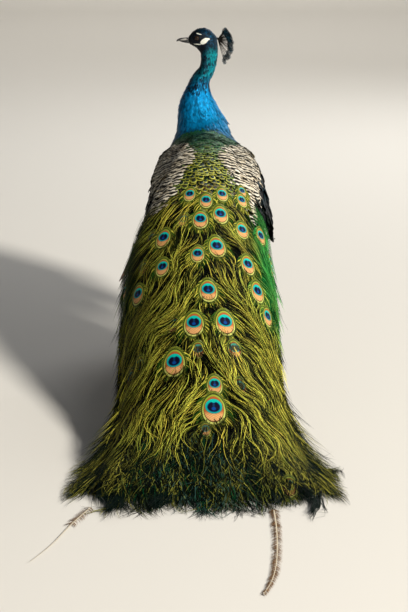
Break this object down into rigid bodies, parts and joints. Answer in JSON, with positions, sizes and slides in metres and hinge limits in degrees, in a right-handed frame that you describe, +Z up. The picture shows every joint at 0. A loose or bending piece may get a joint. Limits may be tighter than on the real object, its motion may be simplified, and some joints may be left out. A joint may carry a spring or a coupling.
{
  "type": "peacock",
  "caption": "Standing peacock, life size, head turned to its left, with a closed train of eyed feathers that slopes down its back and trails on the floor.",
  "frame": {"origin": "on the floor, under the middle of the bird's outline", "axes": "+Y the way the bird faces, along its length; +Z up; +X its right side"},
  "size_m": [0.5456, 1.631, 0.7053],
  "materials": {
    "crown": "metallic blue feathers",
    "neck": "metallic blue feathers",
    "breast": "metallic blue-green feathers",
    "belly": "dark matt feathers",
    "saddle": "green and gold scale feathers",
    "train": "olive-gold train feathers with eyes",
    "barred": "buff feathers barred with black",
    "covert": "blue-black feathers",
    "flight": "chestnut feathers",
    "tail": "brown feathers",
    "thigh": "buff-brown feathers",
    "leg": "grey-brown scutes",
    "claw": "dark horn",
    "bill": "grey horn",
    "eye": "dark glossy eye",
    "shaft": "pale bare shaft"
  },
  "bodies": {
    "root": {"bill_lower": "bill", "bill_upper": "bill", "breast": "breast", "claw_hind_left": "claw", "claw_hind_right": "claw", "claw_inner_left": "claw", "claw_inner_right": "claw", "claw_middle_left": "claw", "claw_middle_right": "claw", "claw_outer_left": "claw", "claw_outer_right": "claw", "crest": "crown", "eye_left": "eye", "eye_right": "eye", "foot_left": "leg", "foot_right": "leg", "head": "crown", "neck_lower": "neck", "neck_upper": "neck", "rump": "belly", "saddle": "saddle", "shank_left": "leg", "shank_right": "leg", "spur_left": "claw", "spur_right": "claw", "tail": "tail", "thigh_left": "thigh", "thigh_right": "thigh", "trailing_feather": "flight", "trailing_shaft": "shaft", "train_fan_left": "train", "train_fan_middle": "train", "train_fan_right": "train", "train_fore": "train", "train_middle": "train", "train_rear": "train", "trunk": "belly", "wing_barred_left": "barred", "wing_barred_right": "barred", "wing_covert_left": "covert", "wing_covert_right": "covert", "wing_flight_left": "flight", "wing_flight_right": "flight"}
  },
  "joints": []
}
